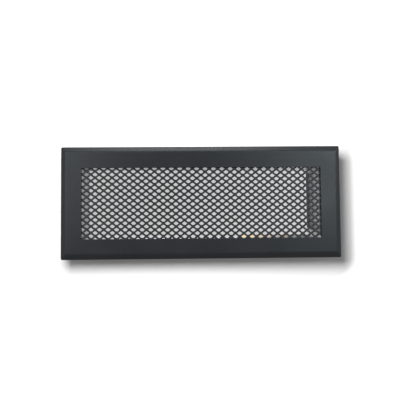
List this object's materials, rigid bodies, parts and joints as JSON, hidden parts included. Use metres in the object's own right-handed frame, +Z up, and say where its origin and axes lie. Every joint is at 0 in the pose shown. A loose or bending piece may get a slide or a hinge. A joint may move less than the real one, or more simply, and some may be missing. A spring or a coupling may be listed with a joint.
{
  "type": "fireplace vent grille",
  "caption": "Wide rectangular fireplace vent grille: a dark folded steel front with a diamond mesh, sprung into a galvanised wall frame.",
  "frame": {"origin": "middle of the grille on the wall plane, where the rim of the front stands on the wall", "axes": "-Y is the way the front looks, into the room, and +Y goes into the wall; +X is to the right as seen from the room; +Z is up"},
  "size_m": [0.334, 0.041, 0.134],
  "materials": {
    "graphite_coat": "satin graphite powder coat on steel sheet",
    "mesh_coat": "dark satin powder coat on expanded steel mesh",
    "galvanised_sheet": "bare galvanised steel sheet, dull with faint spangle",
    "spring_steel": "zinc-plated spring steel strip, satin bright"
  },
  "bodies": {
    "root": {"face_frame": "graphite_coat", "mesh_panel": "mesh_coat", "rail_top": "galvanised_sheet", "rail_bottom": "galvanised_sheet", "rail_left": "galvanised_sheet", "rail_right": "galvanised_sheet", "spring_top_left": "spring_steel", "spring_top_right": "spring_steel", "spring_bottom_left": "spring_steel", "spring_bottom_right": "spring_steel"}
  },
  "joints": []
}
